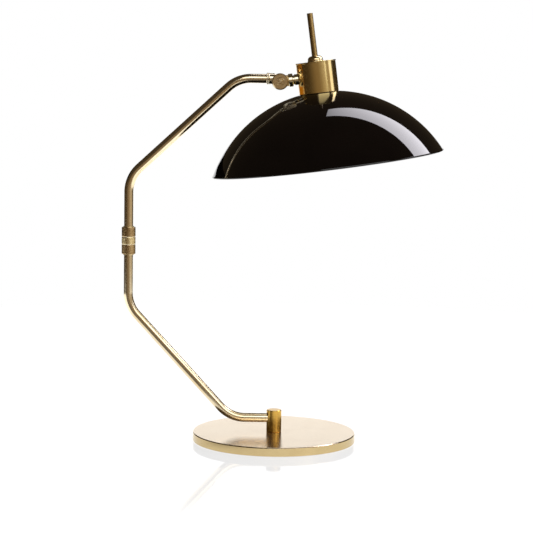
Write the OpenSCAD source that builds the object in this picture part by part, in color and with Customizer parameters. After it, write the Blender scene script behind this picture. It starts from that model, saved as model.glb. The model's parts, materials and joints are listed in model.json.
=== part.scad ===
// Dome shade desk lamp: a round weighted base, a bent brass arm in two halves
// joined by a swivel, and a domed shade that tilts on a clamped knuckle.
// Origin: centre of the base, on the table. +Z up, the arm lies in the XZ plane.

/* [Base] */
// Diameter of the base
base_d = 179; // [150:1:210]
// Height of the top of the base above the table
base_h = 10; // [10:0.5:16]
// Thickness of the sheet brass cover
cover_t = 1.2; // [0.8:0.1:1.4]
// Width of the chamfer round the top edge of the cover
cover_chamfer = 0.8; // [0.4:0.1:1.1]
// Thickness of the felt under the base
felt_t = 1; // [0.6:0.1:1.2]
// Diameter of the mains cord that the bush in the back edge is made for
cord_d = 5; // [4:0.1:5.2]

/* [Post] */
// Diameter of the post
post_d = 16.6; // [15:0.2:22]
// Height of the post above the base
post_h = 24.2; // [22:0.2:40]
// Height of the arm above the base, where it leaves the post
arm_rise = 15; // [14:0.5:16]

/* [Arm] */
// Outer diameter of the arm tube
tube_d = 10; // [9.6:0.1:10.6]
// Wall of the arm tube
tube_wall = 1; // [0.8:0.1:1.2]
// Radius of every bend, on the centre line
bend_r = 36; // [25:1:45]
// Distance from the post back to the swivel
arm_back = 162; // [140:1:190]
// Distance from the post to the corner of the lowest bend
low_run = 48.5; // [40:0.5:60]
// Height of the corner of the lower elbow
low_elbow_z = 148.5; // [130:0.5:155]
// Height of the corner of the upper elbow
up_elbow_z = 289; // [280:0.5:300]
// Height of the upper end of the arm
head_z = 398.2; // [380:0.2:430]
// Distance from the post back to the corner of the top bend
top_run = 44; // [36:0.5:60]
// Diameter of the twin lead inside the tubes
lead_d = 2.6; // [2:0.1:2.8]

/* [Swivel] */
// Height of the underside of the swivel
swivel_z = 205.3; // [200:0.5:215]
// Diameter of the knurled rings
collar_d = 15.3; // [14:0.1:20]
// Height of each end collar
collar_h = 10.3; // [9:0.1:14]
// Height of the lock ring between the collars
lock_h = 7.9; // [6:0.1:12]
// Number of ridges round each knurled ring
knurl_count = 44; // [30:1:60]
// Depth of the knurling
knurl_depth = 0.3; // [0.2:0.05:0.5]

/* [Knuckle] */
// Position of the tilt pivot along X
pivot_x = 1.5; // [-5:0.5:10]
// How far the pivot lies below the centre line of the arm
pivot_drop = 2.9; // [2:0.1:3.2]
// Diameter of the fork's ears
ear_d = 17; // [16:0.1:18]
// Thickness of the tongue between the ears
tongue_t = 5; // [4.6:0.1:5.6]
// Diameter of the clamp screw
screw_d = 4; // [3:0.1:4.6]
// Diameter of the clamp knob
knob_d = 18.3; // [17:0.1:24]
// Thickness of the clamp knob
knob_h = 5.5; // [4:0.1:8]
// Distance from the pivot to the axis of the shade
neck_len = 40.5; // [40:0.1:48]

/* [Head] */
// Tilt of the shade, with its top leaning towards the arm
shade_tilt = 7.8; // [0:0.1:15]
// Diameter of the shade at its rim
shade_d = 254; // [220:1:280]
// Height of the shade's full dome
shade_h = 79; // [72:1:90]
// Wall of the spun shade
shade_wall = 1; // [0.8:0.1:1.4]
// Diameter of the bead rolled round the rim
rim_d = 2.4; // [2:0.1:4]
// Diameter of the brass cup
cup_d = 43.2; // [42.8:0.1:48]
// Height of the brass cup
cup_h = 34.4; // [34:0.1:42]
// Height of the neck above the foot of the cup
neck_rise = 17.6; // [16:0.1:19]
// Wall of the brass cup
cup_wall = 1.2; // [0.8:0.1:1.3]
// Diameter of the handle rod
rod_d = 6.4; // [5:0.1:8]
// Length of the handle rod above its nut
rod_len = 46; // [30:1:80]
// Diameter of the bulb
bulb_d = 45; // [40:1:50]

/* [Hidden] */
$fn = 96;

// Clearances
run_gap = 0.05;       // radial or axial gap of pieces that turn on each other
fit_gap = 0.05;       // gap of pieces that are fixed in each other
lead_gap = 0.3;       // gap round the lead where it is guided
weight_gap = 0.3;     // gap between the cover and the weight inside it
over = 1;             // how far a cut overshoots, or joined shapes overlap

// Base, from the table upwards
base_r = base_d / 2;
skirt_lap = 0.4;      // how far the cover's skirt laps over the felt
felt_inset = 3;
cover_in = base_h - cover_t;
weight_r = base_r - cover_t - weight_gap;
lead_floor = 0.1;     // the lead lies this much above the felt
lead_z = felt_t + lead_floor + lead_d / 2;
nipple_r = 5;         // M10 by 1 thread
nipple_bore = 3.4;
post_nut_t = 2.4;
post_nut_d = 17;      // across its corners
post_washer_t = 0.8;
post_washer_r = 15;
lead_room = 0.4;      // room over the lead, under the nipple
nipple_z = lead_z + lead_d / 2 + lead_room;
nut_rise = 0.1;       // from the end of the nipple to its nut
nut_z = nipple_z + nut_rise;
recess_top = nut_z + post_nut_t + post_washer_t;
recess_gap = 2;       // room round the washer
recess_r = post_washer_r + recess_gap;
nipple_grip = 7.4;    // length of thread in the post
nipple_top = base_h + nipple_grip;
post_chamfer = 0.5;
lead_way_r = 2.6;     // bore for the lead, from the nipple to the arm

// Cord bush in the back edge
bush_wall = 0.7;
cord_gap = 0.1;
bush_bore = cord_d / 2 + cord_gap;
bush_r = bush_bore + bush_wall;
bush_flange_w = 0.8;
bush_flange_r = bush_r + bush_flange_w;
bush_flange_t = 1.2;
bush_rise = 0.4;      // above the middle of the cover's wall
bush_z = (felt_t + cover_in) / 2 + bush_rise;
bush_in = 8;          // length of the bush inside the edge
splice_room = 22;     // room between the bush and the lead, where a cord is spliced on
channel_gap = 0.2;    // room round the bush
channel_w = 2 * (bush_r + channel_gap);

// Arm
arm_z = base_h + arm_rise;
tube_r = tube_d / 2;
tube_bore = tube_r - tube_wall;
tube_in_post = 3;     // the lower tube's end stops this far from the post's axis
post_bend = 4.5;      // bend of the lead inside the post
foot_bend = 3;        // bend of the lead under the post
bend_steps = 8;       // rings of the skin round each bend
tube_sides = 32;
lead_sides = 10;

// Swivel, from its underside upwards
collar_r = collar_d / 2;
collar_lip = 1;       // short plain lip at the tube end of each collar
lip_wall = 0.9;
collar_lip_r = tube_r + lip_wall;
collar_chamfer = 0.4;
ridge_ease = 0.1;     // the disc that cuts the ridges' ends stands this far off their tips
swivel_washer_t = 0.4;
washer_inset = 0.5;   // from the rings' edge to the washers'
tube_grip = 6;        // length of tube held in each collar
spindle_r = tube_bore - fit_gap;
spindle_bore = lead_d / 2 + lead_gap;
spindle_in = 8;       // length of the spindle below the swivel
spindle_z = swivel_z - spindle_in;
lower_tube_top = swivel_z + tube_grip;
low_washer_z = swivel_z + collar_h;
lock_z = low_washer_z + swivel_washer_t + run_gap;
up_washer_z = lock_z + lock_h + run_gap;
up_collar_z = up_washer_z + swivel_washer_t + run_gap;
collar_floor = 1.6;   // wall that the clip holds down in the upper collar
clip_t = 0.8;
clip_z = up_collar_z + collar_floor + run_gap;
clip_w = 1.55;        // its ring reaches this far out from the bottom of its groove
clip_groove = 0.6;
clip_slot = 2;        // opening of the clip
clip_groove_r = spindle_r - clip_groove;
clip_r = clip_groove_r + clip_w;
upper_tube_z = up_collar_z + collar_h - tube_grip;
spindle_out = 5;      // length of the spindle in the upper tube
spindle_top = upper_tube_z + spindle_out;

// Knuckle
pivot_z = head_z - pivot_drop;
screw_r = screw_d / 2;
screw_bore = screw_r + run_gap;
ear_r = ear_d / 2;
ear_chamfer = 0.4;
tongue_inset = 0.25;  // from the ears' edge to the tongue's
tongue_r = ear_r - tongue_inset;
pocket_gap = 0.45;    // room round the tongue, at the fork's root
pocket_r = tongue_r + pocket_gap;
friction_t = 0.5;
friction_inset = 1;   // from the tongue's edge to the washers'
slot_half = tongue_t / 2 + friction_t + 2 * run_gap;
slot_back = 6;        // the fork's slot starts this far behind the pivot
ear_wall = 1.2;       // how far the ears stand out past the tube
fork_half = tube_r + ear_wall;
root_floor = 2.8;     // from the pocket to the fork's end
fork_root_x = pivot_x - pocket_r - root_floor;
root_wall = 0.9;
fork_root_r = tube_r + root_wall;
ferrule_w = 3.2;
ferrule_r = fork_half + 0.2;
tube_end_x = fork_root_x - ferrule_w;
ferrule_plug = 10;
knob_washer_t = 0.6;
knob_washer_r = 6.5;
knob_y = fork_half + 2 * run_gap + knob_washer_t;
knob_face_t = 0.9;    // turned face that stands proud of the knob's knurled edge
knob_face_r = knob_d / 2 - 0.7;
knob_face_chamfer = 0.6;
screw_head_r = 4.2;
screw_head_t = 2.4;
screw_head_chamfer = 0.5;
screw_chamfer = 0.3;
screw_slot = 1;       // width of the slot in the screw's head
screw_slot_t = 1.1;
screw_out = 0.5;      // how far the screw stands out of the knob
screw_tip = knob_y + knob_h + screw_out;
screw_wall = 1.8;     // from the screw's bore to the lead's
tongue_w = 12;        // of the bar between the tongue and its neck
tongue_chamfer = 0.3;

// Neck, along it from the pivot to the cup's wall
root_gap = 0.7;
root_start = ear_r + root_gap;
neck_free = neck_len - cup_d / 2 - root_start;
root_len = 0.5 * neck_free;
groove_len = 0.15 * neck_free;
groove_start = root_start + root_len;
neck_collar_start = groove_start + groove_len;
root_r = 7.1;
root_chamfer = 0.6;
groove_r = 5;
neck_collar_r = 5.9;
neck_collar_chamfer = 0.4;
stub_gap = 0.8;                // from the stub's end to the holder's cap
neck_nut_gap = 1.2;            // from the neck's nut to the holder's cap
stub_r = 4;                    // M8 thread through the cup's wall
neck_nut_t = 3;
neck_nut_d = 13;               // across its corners

// Head, along the axis of the shade from the plane of its rim
shade_r = shade_d / 2;
dome_r = (shade_r * shade_r + shade_h * shade_h) / (2 * shade_h);
dome_z = shade_h - dome_r;
cup_r = cup_d / 2;
cup_bore = cup_r - cup_wall;
cup_top_t = 1.5;
cup_lip = 0.4;                 // rolled lip round the cup's top: how far it stands out
cup_lip_h = 1.2;
cup_edge = 0.3;                // chamfer on the lip
flat_margin = 0.8;             // the shade's flat is this much wider than the cup
flat_r = cup_r + flat_margin;
flat_z = dome_z + sqrt(dome_r * dome_r - flat_r * flat_r);
cup_top = flat_z + cup_h;
cup_ceiling = cup_top - cup_top_t;
neck_z = flat_z + neck_rise;
nut_washer_r = 8.7;
nut_washer_t = 0.9;
nut_washer_chamfer = 0.25;
dome_nut_r = 8.2;
dome_nut_h = 5.2;
dome_nut_ball = 8.6;           // radius of the nut's domed top
dome_nut_drop = 2.6;           // and how far its centre lies below the nut
dome_nut_z = cup_top + nut_washer_t;
cup_nipple_in = 7.5;
cup_nipple_out = 2.6;
rod_wall = 1;
rod_rise = 0.1;                // from the nipple's end to the rod's

// Lamp holder and bulb, an E27 set
skirt_gap = 0.9;
skirt_r = cup_bore - skirt_gap;
shoulder_gap = 0.2;
shoulder_r = cup_bore - shoulder_gap;
shoulder_h = 2.8;
skirt_drop = 15.2;             // length of the thread below the shade's flat
shell_r = 13.9;
shell_wall = 0.6;
shell_gap = 0.3;
shell_rise = 1.5;               // from the skirt's mouth to the shell's
holder_bore = shell_r + shell_gap;
body_wall = 1.4;
body_r = holder_bore + body_wall;
cap_rise = 12.8;               // foot of the holder's cap above the shade's flat
cap_z = flat_z + cap_rise;
insert_h = 4;
cap_r = 15.4;
cap_straight = 8;
cap_cone = 6;
cap_cone_r = 9;
cap_neck_r = 7;
cap_hole = 3;                  // depth of the hole for the lead in the cap's side
ring_h = 7.5;
ring_w = 5.1;
ring_r = skirt_r + ring_w;
ring_step_w = 2.5;
ring_step_r = skirt_r + ring_step_w;
ring_step = 1.5;
ring_notches = 12;
notch_r = 1.4;
notch_out = 0.6;               // centres of the notches lie outside the ring's edge
contact_t = 1.1;
contact_r = 3.5;
tip_z = cap_z - insert_h - contact_t - fit_gap;
tip_r = 4.6;
tip_h = 1.5;
thread_gap = 0.2;
screw_cap_r = shell_r - shell_wall - thread_gap;
screw_cap_drop = 16.7;         // foot of the bulb's cap below the shade's flat
screw_cap_z = flat_z - screw_cap_drop;
screw_cap_h = 20;
screw_ridges = 4;
ridge_r = 1.2;                 // of the rolled thread on the cap
ridge_out = 0.5;
ridge_pitch = 4.8;
bulb_neck_step = 0.7;
bulb_neck_r = screw_cap_r - bulb_neck_step;
bulb_drop = 24.5;              // middle of the bulb below the foot of its cap
bulb_z = screw_cap_z - bulb_drop;

// Lead
lead_end = 0.5;                // gap between the leads' ends and what lies past them
lead_rise = 2.4;               // from the clamp screw to the lead in the neck

brass = [0.75, 0.62, 0.40];
pale_brass = [0.87, 0.78, 0.62];
steel = [0.62, 0.62, 0.64];
iron = [0.25, 0.25, 0.26];
black = [0.05, 0.045, 0.04];

// ---------- shapes that repeat ----------

// A ring with a bore, standing on z
module ring(r, bore, h) {
    difference() {
        cylinder(r = r, h = h);
        translate([0, 0, -over]) cylinder(r = bore, h = h + 2 * over);
    }
}

// A disc with both edges chamfered
module chamfered_disc(r, h, c) {
    rotate_extrude()
        polygon([[0, 0], [r - c, 0], [r, c], [r, h - c], [r - c, h], [0, h]]);
}

// A disc with straight ridges round it, their ends cut by a chamfer
module knurled_disc(r, h, c, count, depth) {
    intersection() {
        chamfered_disc(r + ridge_ease, h, c + ridge_ease);
        linear_extrude(h)
            polygon([for (i = [0 : 2 * count - 1])
                let (a = 180 * i / count, q = r - depth * (i % 2))
                [q * cos(a), q * sin(a)]]);
    }
}

// A six-sided nut with a bore
module hex_nut(d, bore, h) {
    difference() {
        cylinder(d = d, h = h, $fn = 6);
        translate([0, 0, -over]) cylinder(r = bore, h = h + 2 * over);
    }
}

// A skin over a row of rings, each a list of points; closed joins the last to the first
module skin(rings, closed) {
    n = len(rings[0]);
    m = len(rings);
    sides = [for (j = [0 : m - (closed ? 1 : 2)], k = [0 : n - 1])
        [j * n + k, (j + 1) % m * n + k,
            (j + 1) % m * n + (k + 1) % n, j * n + (k + 1) % n]];
    ends = closed ? [] : [[for (k = [0 : n - 1]) k],
        [for (k = [n - 1 : -1 : 0]) (m - 1) * n + k]];
    polyhedron([for (q = rings) each q], concat(sides, ends));
}

// A frame is [point, first normal, second normal]; a ring is a circle in that frame
function ring_points(f, r, sides) = [for (k = [0 : sides - 1])
    f[0] + r * (cos(360 * k / sides) * f[1] + sin(360 * k / sides) * f[2])];
function rings(frames, r, sides) = [for (f = frames) ring_points(f, r, sides)];

// Frames along a path of corners in the XZ plane, rounded at each corner
function heading(d) = atan2(d[1], d[0]);
function left(a) = [-sin(a), cos(a)];
function turn(p, i) = let (before = p[i] - p[i - 1], after = p[i + 1] - p[i])
    atan2(cross(before, after), before * after);
function frame_at(q, a) = [[q[0], 0, q[1]], [-sin(a), 0, cos(a)], [0, 1, 0]];
function bend_frames(p, bends, i) =
    let (t = turn(p, i), s = sign(t), a = heading(p[i] - p[i - 1]), r = bends[i],
        start = p[i] - r * tan(abs(t) / 2) * [cos(a), sin(a)],
        centre = start + s * r * left(a))
    [for (k = [0 : bend_steps]) let (b = a + t * k / bend_steps)
        frame_at(centre - s * r * left(b), b)];
function path_frames(p, bends) = let (n = len(p) - 1) concat(
    [frame_at(p[0], heading(p[1] - p[0]))],
    [for (i = [1 : n - 1]) each bend_frames(p, bends, i)],
    [frame_at(p[n], heading(p[n] - p[n - 1]))]);

module swept_tube(frames, r, bore, sides) {
    n = len(frames) - 1;
    skin(concat(rings(frames, r, sides),
        rings([for (i = [n : -1 : 0]) frames[i]], bore, sides)), true);
}

module swept_bar(frames, r, sides) {
    skin(rings(frames, r, sides), false);
}

// Puts a piece on the swivel's axis, at height z
module on_swivel(z) {
    translate([-arm_back, 0, z]) children();
}

// Lays a piece that stands on z along +X, on the centre line of the arm's end
module on_arm_end(x) {
    translate([x, 0, head_z]) rotate([0, 90, 0]) children();
}

// Puts a piece on the pivot, with its z pointing at the viewer (along -Y)
module on_pivot(y) {
    translate([pivot_x, y, pivot_z]) rotate([90, 0, 0]) children();
}

// Frame of the tilting head, with its origin on the pivot and x along the neck
module on_neck() {
    translate([pivot_x, 0, pivot_z]) rotate([0, -shade_tilt, 0]) children();
}

// Frame of the shade: z is its axis and z = 0 the plane of its rim
module on_head(z = 0) {
    on_neck() translate([neck_len, 0, z - neck_z]) children();
}

// ---------- base ----------

module base_cover() color(pale_brass) {
    difference() {
        translate([0, 0, felt_t - skirt_lap])
            rotate_extrude()
                polygon([
                    [0, 0], [base_r, 0],
                    [base_r, base_h - felt_t + skirt_lap - cover_chamfer],
                    [base_r - cover_chamfer, base_h - felt_t + skirt_lap],
                    [0, base_h - felt_t + skirt_lap]]);
        translate([0, 0, -over]) cylinder(r = base_r - cover_t, h = cover_in + over);
        cylinder(r = nipple_r + fit_gap, h = base_h + over);
        translate([0, base_r - cover_t - over, bush_z]) rotate([-90, 0, 0])
            cylinder(r = bush_r + fit_gap, h = cover_t + 2 * over);
    }
}

module base_weight() color(iron) {
    difference() {
        translate([0, 0, felt_t]) cylinder(r = weight_r, h = cover_in - felt_t);
        cylinder(r = nipple_r + fit_gap, h = base_h);
        cylinder(r = recess_r, h = recess_top);
        translate([-channel_w / 2, 0, 0])
            cube([channel_w, base_r, bush_z + channel_w / 2]);
    }
}

module felt_pad() color([0.08, 0.08, 0.08]) {
    cylinder(r = base_r - felt_inset, h = felt_t);
}

module cord_bush() color(black) {
    difference() {
        translate([0, 0, bush_z]) rotate([-90, 0, 0]) union() {
            translate([0, 0, base_r - bush_in])
                cylinder(r = bush_r, h = bush_in + bush_flange_t);
            difference() {
                translate([0, 0, base_r - over])
                    cylinder(r = bush_flange_r, h = over + bush_flange_t);
                rotate([90, 0, 0])
                    cylinder(r = base_r + fit_gap, h = 4 * bush_flange_r, center = true);
            }
        }
        translate([0, 0, bush_z]) rotate([-90, 0, 0])
            translate([0, 0, base_r - bush_in - over])
                cylinder(r = bush_bore, h = bush_in + bush_flange_t + 2 * over);
    }
}

module post() color(brass) {
    difference() {
        translate([0, 0, base_h]) chamfered_disc(post_d / 2, post_h, post_chamfer);
        translate([0, 0, base_h - over])
            cylinder(r = nipple_r + fit_gap, h = nipple_grip + over + nut_rise);
        translate([0, 0, base_h]) cylinder(r = lead_way_r, h = arm_rise);
        translate([lead_way_r, 0, arm_z]) rotate([0, -90, 0])
            cylinder(r = tube_bore, h = lead_way_r + tube_in_post + over);
        translate([-tube_in_post, 0, arm_z]) rotate([0, -90, 0])
            cylinder(r = tube_r + fit_gap, h = post_d);
    }
}

module post_nipple() color(steel) {
    translate([0, 0, nipple_z]) ring(nipple_r, nipple_bore, nipple_top - nipple_z);
}

module post_washer() color(steel) {
    translate([0, 0, nut_z + post_nut_t])
        ring(post_washer_r, nipple_r + fit_gap, post_washer_t);
}

module post_nut() color(steel) {
    translate([0, 0, nut_z]) hex_nut(post_nut_d, nipple_r + fit_gap, post_nut_t);
}

// ---------- arm ----------

lower_path = [
    [-tube_in_post, arm_z], [-low_run, arm_z],
    [-arm_back, low_elbow_z], [-arm_back, lower_tube_top]];
upper_path = [
    [-arm_back, upper_tube_z], [-arm_back, up_elbow_z],
    [-top_run, head_z], [tube_end_x, head_z]];

module lower_tube() color(brass) {
    swept_tube(path_frames(lower_path, [0, bend_r, bend_r]), tube_r, tube_bore, tube_sides);
}

module upper_tube() color(brass) {
    swept_tube(path_frames(upper_path, [0, bend_r, bend_r]), tube_r, tube_bore, tube_sides);
}

module lower_collar() color(brass) {
    on_swivel(swivel_z) difference() {
        union() {
            knurled_disc(collar_r, collar_h, collar_chamfer, knurl_count, knurl_depth);
            translate([0, 0, -collar_lip]) cylinder(r = collar_lip_r, h = collar_lip + over);
        }
        translate([0, 0, -collar_lip - over])
            cylinder(r = tube_r + fit_gap, h = collar_lip + over + tube_grip);
        cylinder(r = spindle_r + fit_gap, h = collar_h + over);
    }
}

module swivel_spindle() color(brass) {
    on_swivel(spindle_z) difference() {
        ring(spindle_r, spindle_bore, spindle_top - spindle_z);
        translate([0, 0, clip_z - spindle_z])
            ring(spindle_r + over, clip_groove_r, clip_t + 2 * run_gap);
    }
}

module swivel_washers() color("ivory") {
    on_swivel(low_washer_z) ring(collar_r - washer_inset, spindle_r + fit_gap, swivel_washer_t);
    on_swivel(up_washer_z) ring(collar_r - washer_inset, spindle_r + fit_gap, swivel_washer_t);
}

module lock_ring() color(pale_brass) {
    on_swivel(lock_z) difference() {
        knurled_disc(collar_r, lock_h, collar_chamfer, knurl_count, knurl_depth);
        translate([0, 0, -over]) cylinder(r = spindle_r + run_gap, h = lock_h + 2 * over);
    }
}

module spindle_clip() color(steel) {
    on_swivel(clip_z) difference() {
        ring(clip_r, clip_groove_r + fit_gap, clip_t);
        translate([0, -clip_slot / 2, -over]) cube([tube_r, clip_slot, clip_t + 2 * over]);
    }
}

module upper_collar() color(brass) {
    on_swivel(up_collar_z) difference() {
        union() {
            knurled_disc(collar_r, collar_h, collar_chamfer, knurl_count, knurl_depth);
            translate([0, 0, collar_h - over]) cylinder(r = collar_lip_r, h = collar_lip + over);
        }
        translate([0, 0, -over]) cylinder(r = spindle_r + run_gap, h = collar_h);
        translate([0, 0, collar_floor]) cylinder(r = tube_r + fit_gap, h = collar_h + 2 * over);
    }
}

// ---------- knuckle, arm side ----------

module tube_ferrule() color(brass) {
    on_arm_end(tube_end_x) difference() {
        union() {
            rotate_extrude() union() {
                square([ferrule_r - ferrule_w / 2, ferrule_w]);
                translate([ferrule_r - ferrule_w / 2, ferrule_w / 2])
                    circle(d = ferrule_w);
            }
            translate([0, 0, -ferrule_plug])
                cylinder(r = tube_bore - fit_gap, h = ferrule_plug + over);
        }
        translate([0, 0, -ferrule_plug - over])
            cylinder(r = lead_d / 2 + lead_gap, h = ferrule_plug + ferrule_w + 2 * over);
    }
}

module knuckle_fork() color(brass) {
    difference() {
        union() {
            on_arm_end(fork_root_x)
                chamfered_disc(fork_root_r, pivot_x - fork_root_x, ear_chamfer);
            on_pivot(fork_half) chamfered_disc(ear_r, 2 * fork_half, ear_chamfer);
        }
        on_pivot(slot_half) cylinder(r = pocket_r, h = 2 * slot_half);
        translate([pivot_x - slot_back, -slot_half, pivot_z - ear_r - over])
            cube([ear_d, 2 * slot_half, ear_d + 4 * over]);
        on_pivot(fork_half + over) cylinder(r = screw_bore, h = 2 * fork_half + 2 * over);
        on_arm_end(fork_root_x - over)
            cylinder(r = lead_d / 2 + lead_gap, h = over + root_floor + pocket_r / 2);
    }
}

module knuckle_screw() color(steel) {
    on_pivot(0) {
        translate([0, 0, -fork_half])
            chamfered_disc(screw_r, fork_half + screw_tip, screw_chamfer);
        translate([0, 0, -fork_half - screw_head_t]) difference() {
            chamfered_disc(screw_head_r, screw_head_t, screw_head_chamfer);
            translate([-screw_head_r - over, -screw_slot / 2, -over])
                cube([2 * (screw_head_r + over), screw_slot, screw_slot_t + over]);
        }
    }
}

module friction_washers() color("ivory") {
    for (side = [-1, 1])
        on_pivot(side * (tongue_t / 2 + run_gap + friction_t / 2) + friction_t / 2)
            ring(tongue_r - friction_inset, screw_bore, friction_t);
}

module knob_washer() color(steel) {
    on_pivot(-fork_half - run_gap) ring(knob_washer_r, screw_bore, knob_washer_t);
}

module clamp_knob() color(pale_brass) {
    on_pivot(-knob_y) difference() {
        union() {
            knurled_disc(knob_d / 2, knob_h - knob_face_t, collar_chamfer, knurl_count,
                knurl_depth);
            chamfered_disc(knob_face_r, knob_h, knob_face_chamfer);
        }
        translate([0, 0, -over]) cylinder(r = screw_bore, h = knob_h + 2 * over);
    }
}

// ---------- knuckle, head side ----------

module knuckle_eye() color(brass) {
    on_neck() difference() {
        union() {
            rotate([90, 0, 0]) translate([0, 0, -tongue_t / 2])
                chamfered_disc(tongue_r, tongue_t, tongue_chamfer);
            translate([0, -tongue_t / 2, -tongue_w / 2])
                cube([root_start + over, tongue_t, tongue_w]);
            rotate([0, 90, 0]) {
                translate([0, 0, root_start]) chamfered_disc(root_r, root_len, root_chamfer);
                translate([0, 0, groove_start - over])
                    cylinder(r = groove_r, h = groove_len + 2 * over);
                difference() {
                    translate([0, 0, neck_collar_start])
                        chamfered_disc(neck_collar_r,
                            neck_len - cup_r + 2 * over - neck_collar_start,
                            neck_collar_chamfer);
                    translate([0, 0, neck_len]) rotate([0, 90, 0])
                        cylinder(r = cup_r + fit_gap, h = 4 * neck_collar_r, center = true);
                }
                translate([0, 0, groove_start])
                    cylinder(r = stub_r, h = neck_len - cap_r - stub_gap - groove_start);
            }
        }
        rotate([90, 0, 0]) translate([0, 0, -tongue_t])
            cylinder(r = screw_bore, h = 2 * tongue_t);
        rotate([0, 90, 0]) translate([0, 0, screw_r + screw_wall])
            cylinder(r = lead_d / 2 + lead_gap, h = neck_len);
        translate([screw_r + screw_wall, -lead_d / 2 - lead_gap, 0])
            cube([root_start - screw_r - screw_wall, lead_d + 2 * lead_gap, ear_r + over]);
    }
}

module neck_nut() color(steel) {
    on_neck() rotate([0, 90, 0])
        translate([0, 0, neck_len - cap_r - neck_nut_gap - neck_nut_t])
            hex_nut(neck_nut_d, stub_r + fit_gap, neck_nut_t);
}

// ---------- cup, handle ----------

module socket_cup() color(brass) {
    difference() {
        on_head(flat_z) rotate_extrude() polygon([
            [cup_bore, 0], [cup_r, 0], [cup_r, cup_h - cup_lip_h],
            [cup_r + cup_lip, cup_h - cup_lip_h], [cup_r + cup_lip, cup_h - cup_edge],
            [cup_r + cup_lip - cup_edge, cup_h],
            [nipple_r + fit_gap, cup_h], [nipple_r + fit_gap, cup_h - cup_top_t],
            [cup_bore, cup_h - cup_top_t]]);
        on_neck() rotate([0, 90, 0]) translate([0, 0, neck_len - cup_r - over])
            cylinder(r = stub_r + fit_gap, h = cup_wall + 2 * over);
    }
}

module nut_washer() color(brass) {
    on_head(cup_top) difference() {
        chamfered_disc(nut_washer_r, nut_washer_t, nut_washer_chamfer);
        translate([0, 0, -over]) cylinder(r = nipple_r + fit_gap, h = nut_washer_t + 2 * over);
    }
}

module dome_nut() color(brass) {
    on_head(dome_nut_z) difference() {
        rotate_extrude() intersection() {
            translate([0, -dome_nut_drop]) circle(r = dome_nut_ball);
            square([dome_nut_r, dome_nut_h]);
        }
        translate([0, 0, -over])
            cylinder(r = nipple_r + fit_gap, h = over + cup_nipple_out + rod_rise);
        cylinder(r = rod_d / 2 + fit_gap, h = dome_nut_h + over);
    }
}

module handle_rod() color(brass) {
    on_head(dome_nut_z + cup_nipple_out + rod_rise)
        ring(rod_d / 2, rod_d / 2 - rod_wall, dome_nut_h - cup_nipple_out + rod_len);
}

module cup_nipple() color(steel) {
    on_head(cup_ceiling - cup_nipple_in)
        ring(nipple_r, nipple_bore, cup_nipple_in + cup_top_t + nut_washer_t + cup_nipple_out);
}

// ---------- lamp holder ----------

module holder_cap() color(black) {
    difference() {
        on_head(cap_z) rotate_extrude() polygon([
            [0, 0], [cap_r, 0], [cap_r, cap_straight],
            [cap_cone_r, cap_straight + cap_cone],
            [cap_neck_r, cap_straight + cap_cone],
            [cap_neck_r, cup_ceiling - cap_z], [0, cup_ceiling - cap_z]]);
        on_head(cup_ceiling - cup_nipple_in - over)
            cylinder(r = nipple_r + fit_gap, h = cup_nipple_in + 2 * over);
        on_neck() rotate([0, 90, 0]) translate([0, 0, neck_len - cap_r - over])
            cylinder(r = lead_d / 2 + lead_gap, h = over + cap_hole);
    }
}

module holder_skirt() color(black) {
    on_head(flat_z) rotate_extrude() polygon([
        [holder_bore, -skirt_drop], [skirt_r, -skirt_drop], [skirt_r, 0],
        [shoulder_r, 0], [shoulder_r, shoulder_h], [body_r, shoulder_h],
        [body_r, cap_z - flat_z], [holder_bore, cap_z - flat_z]]);
}

module holder_insert() color("ivory") {
    on_head(cap_z - insert_h) cylinder(r = holder_bore - fit_gap, h = insert_h);
}

module holder_shell() color(brass) {
    on_head(flat_z - skirt_drop + shell_rise)
        ring(shell_r, shell_r - shell_wall,
            cap_z - insert_h - flat_z + skirt_drop - shell_rise);
}

module centre_contact() color(brass) {
    on_head(cap_z - insert_h - contact_t) cylinder(r = contact_r, h = contact_t);
}

module shade_ring() color(black) {
    on_head(flat_z - shade_wall - ring_h) difference() {
        rotate_extrude() polygon([
            [skirt_r + fit_gap, 0], [ring_r, 0], [ring_r, ring_h - ring_step],
            [ring_step_r, ring_h - ring_step], [ring_step_r, ring_h],
            [skirt_r + fit_gap, ring_h]]);
        for (i = [0 : ring_notches - 1]) rotate([0, 0, 360 * i / ring_notches])
            translate([ring_r + notch_out, 0, -over])
                cylinder(r = notch_r, h = ring_h - ring_step + over);
    }
}

// ---------- shade ----------

module shade() color(black) {
    on_head() rotate_extrude() union() {
        intersection() {
            translate([0, dome_z]) difference() {
                circle(r = dome_r, $fn = 360);
                circle(r = dome_r - shade_wall, $fn = 360);
            }
            translate([flat_r - over / 2, 0]) square([shade_r, flat_z]);
        }
        translate([skirt_r + 2 * fit_gap, flat_z - shade_wall])
            square([flat_r - skirt_r, shade_wall]);
        translate([shade_r - rim_d / 2, rim_d / 2]) circle(d = rim_d);
    }
}

// ---------- bulb ----------

module bulb_cap() color(steel) {
    on_head(screw_cap_z) rotate_extrude() union() {
        square([screw_cap_r - ridge_out, screw_cap_h]);
        for (i = [0 : screw_ridges - 1])
            translate([screw_cap_r - ridge_r, (i + 0.5) * ridge_pitch]) circle(r = ridge_r);
        polygon([[0, screw_cap_h], [screw_cap_r - ridge_out, screw_cap_h],
            [tip_r, tip_z - tip_h - screw_cap_z], [tip_r, tip_z - screw_cap_z],
            [0, tip_z - screw_cap_z]]);
    }
}

module bulb_glass() color([0.95, 0.95, 0.92]) {
    on_head(bulb_z) union() {
        sphere(d = bulb_d);
        cylinder(r = bulb_neck_r, h = screw_cap_z - bulb_z);
    }
}

// ---------- lead inside the lamp ----------

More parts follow.
